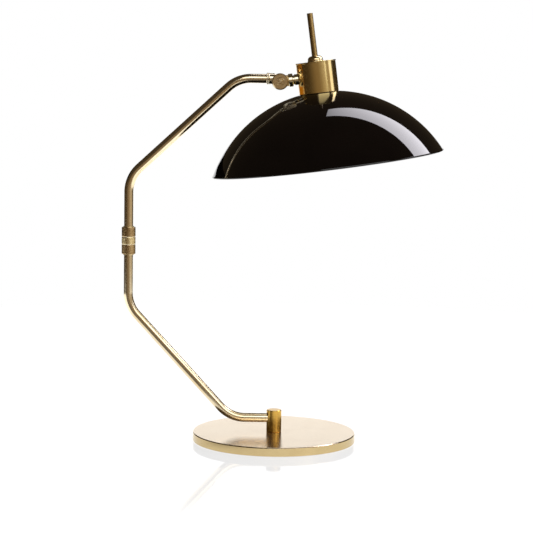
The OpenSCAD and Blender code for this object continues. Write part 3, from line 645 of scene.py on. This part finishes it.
def knurl(shape, radius, bottom, top, ridges, depth):
    """Presses a diamond pattern into the points of a turned shape's outer wall."""
    pitch = math.tau * radius / ridges

    def saw(value):
        return abs(value % 1.0 - 0.5) * 2

    for vertex in shape.verts:
        if math.hypot(vertex.co.x, vertex.co.y) > radius - ON_WALL and bottom < vertex.co.z < top:
            turns = math.atan2(vertex.co.y, vertex.co.x) / math.tau * ridges
            rise = (vertex.co.z - bottom) / pitch
            height = min(saw(turns + rise), saw(turns - rise))
            shrink = 1 - depth * (1 - height) / radius
            vertex.co.x *= shrink
            vertex.co.y *= shrink


def knurled_outline(radius, bottom, top, chamfer, ridges):
    """The outer side of a knurled ring's outline, with a point every quarter ridge."""
    rows = round((top - bottom - 2 * chamfer) / (math.tau * radius / ridges / 4))
    return ([(radius - chamfer, bottom)]
            + [(radius, bottom + chamfer + (top - bottom - 2 * chamfer) * k / rows)
               for k in range(rows + 1)]
            + [(radius - chamfer, top)])


swivel_frame = Matrix.Translation((swivel_x, 0, 0))
collar_brass = brass("collar_brass", COLLAR_TINT, COLLAR_DEEP, roughness=0.24, marks=2600.0,
                     marks_depth=0.000004, axis_frame=swivel_frame)
ring_brass = brass("lock_ring_brass", RING_TINT, RING_DEEP, roughness=0.27, marks=2600.0,
                   marks_depth=0.000004, axis_frame=swivel_frame)
# The lips' material: its pale colour is a painted highlight.
bright_lip_metal = brass("lip_painted_highlight", LIP_HIGHLIGHT, LIP_HIGHLIGHT_DEEP, roughness=0.22, marks=2600.0,
                  marks_depth=0.000002, axis_frame=swivel_frame)
for name, node, body, lip_below, lip_above, metal in (
    ("swivel_collar_lower", "lower_collar", "stand", True, False, collar_brass),
    ("swivel_lock_ring", "lock_ring", "lock_ring", False, False, ring_brass),
    ("swivel_collar_upper", "upper_collar", "upper_arm", False, True, collar_brass),
):
    low, high = reach(node)
    radius = (high.y - low.y) / 2
    bottom = low.z + (COLLAR_LIP if lip_below else 0)
    top = high.z - (COLLAR_LIP if lip_above else 0)
    outline = knurled_outline(radius, bottom, top, RING_CHAMFER, KNURL_RIDGES)
    below = [(LIP_RADIUS, low.z), (LIP_RADIUS, bottom)] if lip_below else []
    above = [(LIP_RADIUS, top), (LIP_RADIUS, high.z)] if lip_above else []
    bore = [(SPINDLE_BORE, high.z), (SPINDLE_BORE, low.z)]
    if lip_below:
        bore = [(SPINDLE_BORE, high.z), (SPINDLE_BORE, bottom), (tube_radius, bottom),
                (tube_radius, low.z)]
    if lip_above:
        bore = [(tube_radius, high.z), (tube_radius, bottom + TUBE_SEAT),
                (SPINDLE_BORE, bottom + TUBE_SEAT), (SPINDLE_BORE, bottom)]
    shape = turned(below + outline + above + bore, steps=4 * KNURL_RIDGES)
    knurl(shape, radius, bottom + RING_CHAMFER / 2, top - RING_CHAMFER / 2, KNURL_RIDGES,
          KNURL_DEPTH)
    bmesh.ops.translate(shape, verts=shape.verts, vec=(swivel_x, 0, 0))
    ring = finished(name, shape, metal)
    # Faces outside the knurled band are the lips, which take the painted highlight.
    ring.data.materials.append(bright_lip_metal)
    for face in ring.data.polygons:
        if not bottom < face.center.z < top:
            face.material_index = 1
    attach(ring, body)
    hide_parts(node)

# ---------- swivel's inner pieces ----------
# The hollow spindle, fast in the lower collar, on which the upper one turns, the nylon
# slip washers between the rings and the spring clip that keeps the upper collar down.
dress("swivel_spindle", brass(
    "spindle_brass", COLLAR_TINT, COLLAR_DEEP, roughness=0.3, marks=2600.0,
    marks_depth=0.000003, axis_frame=swivel_frame))
nylon = solid_finish("slip_washer", rgb(226, 218, 196), rgb(212, 203, 180), roughness=0.5,
                     grain=800.0, relief_depth=0.00002)
dress("swivel_washers", nylon)
dress("spindle_clip", zinc_plate)

# ---------- knuckle, arm side ----------
# The end of the arm: a beaded ferrule plugged into the tube, and a fork with two round
# ears, milled from brass. Nylon washers give the tongue between the ears its drag.
FORK_TINT = rgb(250, 240, 212)
FORK_DEEP = rgb(242, 226, 188)
arm_end = Matrix.Translation((0, 0, upper_end[1])) @ Matrix.Rotation(math.radians(90), 4, "Y")
pivot = joint_at["shade_tilt"]
pivot_frame = Matrix.Translation(pivot) @ Matrix.Rotation(math.radians(90), 4, "X")
FORK_ROUNDING = 0.00025
FERRULE_PLUG = 0.010     # length of the plug in the tube
PLUG_RADIUS = 0.0039
LEAD_BORE = 0.0016
FERRULE_FACE = 0.0009    # width of the flat inside each bead's end
low, high = reach("tube_ferrule")
plug_end = low.x
bead_start = low.x + FERRULE_PLUG
bead_radius = (high.x - bead_start) / 4   # two beads side by side
bead_centre = (high.z - low.z) / 2 - bead_radius   # from the tube's axis


def arc(centre, radius, start, end, steps):
    """Points on an arc, with its angles in degrees from the first axis."""
    return [(centre[0] + radius * math.cos(math.radians(start + (end - start) * k / steps)),
             centre[1] + radius * math.sin(math.radians(start + (end - start) * k / steps)))
            for k in range(steps + 1)]


outline = [(LEAD_BORE, plug_end), (PLUG_RADIUS, plug_end), (PLUG_RADIUS, bead_start),
           (bead_centre - FERRULE_FACE, bead_start)]
for place in (1, 3):
    outline += arc((bead_centre, bead_start + place * bead_radius), bead_radius, -90, 90, steps=10)
outline += [(bead_centre - FERRULE_FACE, high.x), (LEAD_BORE, high.x)]
shape = turned(outline, steps=72)
shape.transform(arm_end)
ferrule = finished("tube_end_ferrule", shape, brass(
    "ferrule_brass", FORK_TINT, FORK_DEEP, roughness=0.17, marks=2400.0, marks_depth=0.000003,
    axis_frame=arm_end))
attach(ferrule, "upper_arm")
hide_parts("tube_ferrule")

fork = finished("knuckle_fork_ears", softened("knuckle_fork", FORK_ROUNDING), brass(
    "fork_brass", FORK_TINT, FORK_DEEP, roughness=0.18, marks=2400.0, marks_depth=0.000004,
    axis_frame=pivot_frame))
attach(fork, "upper_arm")
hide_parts("knuckle_fork")
dress("friction_washers", nylon)

# ---------- clamp screw and knob ----------
# A brass-plated steel screw through the ears with a slotted head at the back, a washer,
# and a knurled brass knob that is tightened by hand. The screw's end shows in its middle.
SCREW_ROUNDING = 0.0002
screw = finished("clamp_screw", softened("knuckle_screw", SCREW_ROUNDING), solid_finish(
    "screw_brass", rgb(246, 232, 200), rgb(236, 216, 176), roughness=0.22, grain=900.0,
    relief_depth=0.000004, metallic=1.0))
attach(screw, "upper_arm")
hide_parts("knuckle_screw")
dress("knob_washer", zinc_plate)

KNOB_RIDGES = 52
KNOB_DEPTH = 0.0004
KNOB_CHAMFER = 0.0004
KNOB_FACE = 0.0009       # the turned face stands this proud of the knurled band
FACE_INSET = 0.0007
FACE_CHAMFER = 0.0006
SCREW_HOLE = 0.00205
GROOVE_WALLS = (0.0046, 0.0042, 0.0030, 0.0027)   # radii of a ring cut into the face
GROOVE_DEPTH = 0.0003
KNOB_TINT = rgb(240, 222, 184)
KNOB_DEEP = rgb(226, 200, 154)
low, high = reach("clamp_knob", pivot_frame.inverted())
knob_radius = (high.x - low.x) / 2
face_radius = knob_radius - FACE_INSET
knob_band = high.z - KNOB_FACE
groove_floor = high.z - GROOVE_DEPTH
groove_heights = (high.z, groove_floor, groove_floor, high.z)
outline = [(SCREW_HOLE, low.z)]
outline += knurled_outline(knob_radius, low.z, knob_band, KNOB_CHAMFER, KNOB_RIDGES)
outline += [(face_radius, knob_band), (face_radius, high.z - FACE_CHAMFER),
            (face_radius - FACE_CHAMFER, high.z)]
outline += list(zip(GROOVE_WALLS, groove_heights)) + [(SCREW_HOLE, high.z)]
shape = turned(outline, steps=4 * KNOB_RIDGES)
knurl(shape, knob_radius, low.z + KNOB_CHAMFER / 2, knob_band - KNOB_CHAMFER / 2, KNOB_RIDGES,
      KNOB_DEPTH)
shape.transform(pivot_frame)
knob = finished("clamp_knob_knurled", shape, brass(
    "knob_brass", KNOB_TINT, KNOB_DEEP, roughness=0.20, marks=2600.0, marks_depth=0.000005,
    axis_frame=pivot_frame))
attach(knob, "knob")
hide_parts("clamp_knob")

# ---------- knuckle, head side ----------
# The tongue between the ears and its turned neck, which runs through the cup's wall.
# A nut inside the cup holds it.
SHADE_TILT = math.radians(7.8)   # how far the head leans back at rest
TONGUE_ROUNDING = 0.0002
neck_frame = Matrix.Translation(pivot) @ Matrix.Rotation(-SHADE_TILT, 4, "Y")
eye = finished("knuckle_tongue", softened("knuckle_eye", TONGUE_ROUNDING), brass(
    "tongue_brass", FORK_TINT, FORK_DEEP, roughness=0.18, marks=2400.0, marks_depth=0.000004,
    axis_frame=neck_frame @ Matrix.Rotation(math.radians(90), 4, "Y")))
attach(eye, "head")
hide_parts("knuckle_eye")
dress("neck_nut", zinc_plate)

# ---------- cup ----------
# The brass cup that holds the lamp holder: spun from sheet, its wall brushed round and
# lacquered. It stands on the flat of the shade.
CUP_WALL = 0.0012
CUP_ROOF = 0.0015
CUP_LIP = 0.0004
CUP_LIP_HEIGHT = 0.0012
CUP_FOOT_CHAMFER = 0.0007
CUP_ROUNDING = 0.00025
CUP_TINT = rgb(232, 208, 146)
CUP_DEEP = rgb(226, 200, 136)
in_neck = neck_frame.inverted()
low, high = reach("socket_cup", in_neck)
head_x = high.x - (high.y - low.y) / 2
head_frame = neck_frame @ Matrix.Translation((head_x, 0, 0))
in_head = head_frame.inverted()
cup_radius, cup_foot, cup_top = high.y - CUP_LIP, low.z, high.z
shape = turned([
    (cup_radius - CUP_WALL, cup_foot), (cup_radius - CUP_FOOT_CHAMFER, cup_foot),
    (cup_radius, cup_foot + CUP_FOOT_CHAMFER),
    (cup_radius, cup_top - CUP_LIP_HEIGHT), (cup_radius + CUP_LIP, cup_top - CUP_LIP_HEIGHT),
    (cup_radius + CUP_LIP, cup_top),
    (NIPPLE_HOLE, cup_top), (NIPPLE_HOLE, cup_top - CUP_ROOF),
    (cup_radius - CUP_WALL, cup_top - CUP_ROOF)], steps=160)
break_edges(shape, CUP_ROUNDING)
shape.transform(head_frame)
cup = finished("holder_cup", shape, brass(
    "cup_brass", CUP_TINT, CUP_DEEP, roughness=0.15, marks=3000.0, marks_depth=0.000003,
    axis_frame=head_frame))
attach(cup, "head")
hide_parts("socket_cup")

# An orange card at the lamp's left gives the cup its warm edge. It lights the cup alone.
ORANGE = (0.70, 0.27, 0.01, 1)
warm_card = softbox("warm_card", centre=(-0.255, 0.205, 0.346), along=(0.077, 0.205, 0),
                    across=(0, 0, 0.024), bright_start=0.6, bright_end=0.6, tint=ORANGE)
lit_by_card = bpy.data.collections.new("lit_by_warm_card")
lit_by_card.objects.link(cup)
warm_card.light_linking.receiver_collection = lit_by_card

# ---------- handle ----------
# On the cup, a washer, a low domed nut and the rod by which the head is turned: a plain
# brass tube, open at its end.
ROD_WALL = 0.001
HANDLE_ROUNDING = 0.0003
NUT_RIM = 0.0010         # height of the nut's upright rim, under its dome
NUT_STEPS = 12
low, high = reach("nut_washer", in_head)
shape = turned([(NIPPLE_HOLE, low.z), (high.y, low.z), (high.y, high.z), (NIPPLE_HOLE, high.z)],
               steps=96)
break_edges(shape, HANDLE_ROUNDING)
shape.transform(head_frame)
washer = finished("cup_washer", shape, brass(
    "washer_brass", FORK_TINT, FORK_DEEP, roughness=0.18, marks=2600.0, marks_depth=0.000003,
    axis_frame=head_frame))
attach(washer, "head")
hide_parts("nut_washer")

low, high = reach("dome_nut", in_head)
rod_low, rod_high = reach("handle_rod", in_head)
rod_radius = rod_high.y
nut_radius = high.y
outline = [(rod_radius, low.z), (nut_radius, low.z), (nut_radius, low.z + NUT_RIM)]
for k in range(1, NUT_STEPS + 1):
    swing = math.radians(90 * k / NUT_STEPS)
    outline.append((rod_radius + (nut_radius - rod_radius) * math.cos(swing),
                    low.z + NUT_RIM + (high.z - low.z - NUT_RIM) * math.sin(swing)))
shape = turned(outline, steps=96)
shape.transform(head_frame)
nut = finished("cup_dome_nut", shape, brass(
    "dome_nut_brass", rgb(236, 206, 150), FORK_DEEP, roughness=0.15, marks=2600.0,
    marks_depth=0.000003, axis_frame=head_frame))
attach(nut, "head")
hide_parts("dome_nut")

shape = turned([
    (rod_radius - ROD_WALL, rod_low.z), (rod_radius, rod_low.z), (rod_radius, rod_high.z),
    (rod_radius - ROD_WALL, rod_high.z)], steps=48)
break_edges(shape, HANDLE_ROUNDING)
shape.transform(head_frame)
rod = finished("steering_rod", shape, brass(
    "rod_brass", rgb(178, 152, 102), rgb(170, 143, 92), roughness=0.24, marks=2600.0,
    marks_depth=0.0000005, axis_frame=head_frame))
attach(rod, "head")
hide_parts("handle_rod")
dress("cup_nipple", zinc_plate)

# ---------- shade ----------
# A shallow dome spun from 1 mm sheet with a bead rolled round its rim, stove enamelled:
# gloss black outside, and a warm white inside that throws the light down.
SHADE_WALL = 0.001
SHADE_HEIGHT = 0.079     # from the rim to where the dome would close, above its flat top
SHADE_HOLE = 0.0196      # radius of the hole for the lamp holder
RIM_BEAD = 0.0012
BEAD_ARC = (-200, 35)    # where the bead's arc starts and ends, in degrees
BEAD_JOIN = 1.6          # height above the rim, in bead radii, at which the wall joins the bead
LINING_JOIN = 1.5        # and at which the lining starts
ENAMEL = rgb(6, 4, 4)
ENAMEL_WARM = rgb(11, 7, 6)
LINING = rgb(238, 234, 224)
LINING_SHADE = rgb(235, 230, 219)
low, high = reach("shade", in_head)
shade_radius, rim_z, shade_top = high.y, low.z, high.z
ball_radius = (shade_radius ** 2 + SHADE_HEIGHT ** 2) / (2 * SHADE_HEIGHT)
ball_z = rim_z + SHADE_HEIGHT - ball_radius
inner_radius = ball_radius - SHADE_WALL
flat_radius = math.sqrt(ball_radius ** 2 - (shade_top - ball_z) ** 2)
wall_foot = RIM_BEAD * BEAD_JOIN + rim_z - ball_z
rim_angle = math.degrees(math.asin(wall_foot / ball_radius))
top_angle = math.degrees(math.acos(flat_radius / ball_radius))
outer = arc((0, ball_z), ball_radius, rim_angle, top_angle, steps=64)
inner_start = math.degrees(math.asin(wall_foot / inner_radius))
inner_end = math.degrees(math.asin((shade_top - SHADE_WALL - ball_z) / inner_radius))
inside = arc((0, ball_z), inner_radius, inner_end, inner_start, steps=64)
rolled = arc((shade_radius - RIM_BEAD, rim_z + RIM_BEAD), RIM_BEAD, *BEAD_ARC, steps=14)
shape = turned(outer + [(SHADE_HOLE, shade_top), (SHADE_HOLE, shade_top - SHADE_WALL)]
               + inside + rolled, steps=256)
shape.transform(head_frame)


def enamel():
    """Gloss black stove enamel, with the faint orange peel that sprayed enamel has."""
    made, tree, output = new_material("black_enamel")
    place = add_node(tree, "ShaderNodeTexCoord", {}).outputs["Object"]
    film = add_node(tree, "ShaderNodeGroup", {"Vector": place, "Clouds Scale": 14.0},
                    node_tree=lacquer)
    peel = add_node(tree, "ShaderNodeTexNoise", {
        "Vector": place, "Scale": 330.0, "Detail": 1.0}).outputs[0]
    relief = add_node(tree, "ShaderNodeBump", {
        "Height": peel, "Strength": 1.0, "Distance": 0.0000004})
    body = add_node(tree, "ShaderNodeBsdfPrincipled", {
        "Base Color": mix_colours(tree, film.outputs["Clouds"], ENAMEL, ENAMEL_WARM),
        "Roughness": ramp_between(tree, film.outputs["Clouds"], 0.0, 1.0, 0.02, 0.035),
        "IOR": 1.52, "Normal": relief.outputs[0]})
    tree.links.new(body.outputs[0], output.inputs["Surface"])
    return made


shade = finished("dome_shade", shape, enamel())
shade.data.materials.append(solid_finish(
    "white_lining", LINING, LINING_SHADE, roughness=0.42, grain=160.0, relief_depth=0.00002))
lining_foot = rim_z + RIM_BEAD * LINING_JOIN
lining_top = shade_top - SHADE_WALL / 2
for face in shade.data.polygons:
    middle = in_head @ face.center
    from_ball = math.hypot(math.hypot(middle.x, middle.y), middle.z - ball_z)
    if from_ball < ball_radius - SHADE_WALL * 0.9 and lining_foot < middle.z < lining_top:
        face.material_index = 1
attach(shade, "head")
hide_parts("shade")

# ---------- lamp holder ----------
# A black phenolic holder: its cap is screwed to the nipple, its skirt goes down through
# the shade, and a notched ring clamps the shade to it. Ceramic and brass are inside.
phenolic = solid_finish("phenolic", rgb(24, 21, 20), rgb(33, 29, 27), roughness=0.3,
                        grain=600.0, relief_depth=0.00001)
for node in ("holder_cap", "holder_skirt", "shade_ring"):
    dress(node, phenolic)
dress("holder_insert", solid_finish(
    "steatite", rgb(228, 224, 212), rgb(214, 208, 194), roughness=0.6, grain=500.0,
    relief_depth=0.00002))
contact_brass = brass("contact_brass", rgb(226, 196, 128), rgb(206, 170, 100), roughness=0.28,
                      marks=2000.0, marks_depth=0.000003, axis_frame=head_frame)
dress("holder_shell", contact_brass)
dress("centre_contact", contact_brass)

# ---------- bulb ----------
# A small round bulb, blown in opal glass, with an E27 cap of plated sheet cemented to
# its neck.
BULB_NECK = 0.0124       # radius of the neck
NECK_FLARE = 0.0015      # how much wider than the neck the ball is where it ends
SHOULDER = ((0.0004, 0.0015), (0, 0.0032))   # out from the neck, and up from the ball's end
low, high = reach("bulb_glass", in_head)
bulb_radius = high.y
neck_angle = math.degrees(math.asin((BULB_NECK + NECK_FLARE) / bulb_radius))
outline = arc((0, low.z + bulb_radius), bulb_radius, -90, 90 - neck_angle, steps=40)
outline[0] = (0, low.z)
ball_end = outline[-1][1]
outline += [(BULB_NECK + out, ball_end + up) for out, up in SHOULDER]
outline += [(BULB_NECK, high.z), (0, high.z)]
shape = turned(outline, steps=96)
shape.transform(head_frame)


def opal():
    """Opal glass: white through its depth, with a satin skin."""
    made, tree, output = new_material("opal_glass")
    place = add_node(tree, "ShaderNodeTexCoord", {}).outputs["Object"]
    depth = add_node(tree, "ShaderNodeTexNoise", {
        "Vector": place, "Scale": 60.0, "Detail": 2.0}).outputs[0]
    body = add_node(tree, "ShaderNodeBsdfPrincipled", {
        "Base Color": mix_colours(tree, depth, rgb(244, 243, 238), rgb(236, 234, 228)),
        "Roughness": ramp_between(tree, depth, 0.3, 0.7, 0.16, 0.24),
        "Subsurface Weight": 0.25, "Subsurface Scale": 0.004})
    tree.links.new(body.outputs[0], output.inputs["Surface"])
    return made


bulb = finished("opal_bulb", shape, opal())
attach(bulb, "head")
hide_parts("bulb_glass")
dress("bulb_cap", solid_finish(
    "cap_metal", rgb(212, 214, 218), rgb(186, 189, 194), roughness=0.25, grain=900.0,
    relief_depth=0.00001, metallic=1.0))

# ---------- leads ----------
# The insulated twin lead inside the lamp: along the base and up the lower tube, through
# the upper tube, and in the head down to the holder.
sleeve = solid_finish("lead_sleeve", rgb(230, 224, 208), rgb(216, 209, 190), roughness=0.55,
                      grain=900.0, relief_depth=0.00002)
for node in ("lower_lead", "upper_lead", "head_lead"):
    dress(node, sleeve)
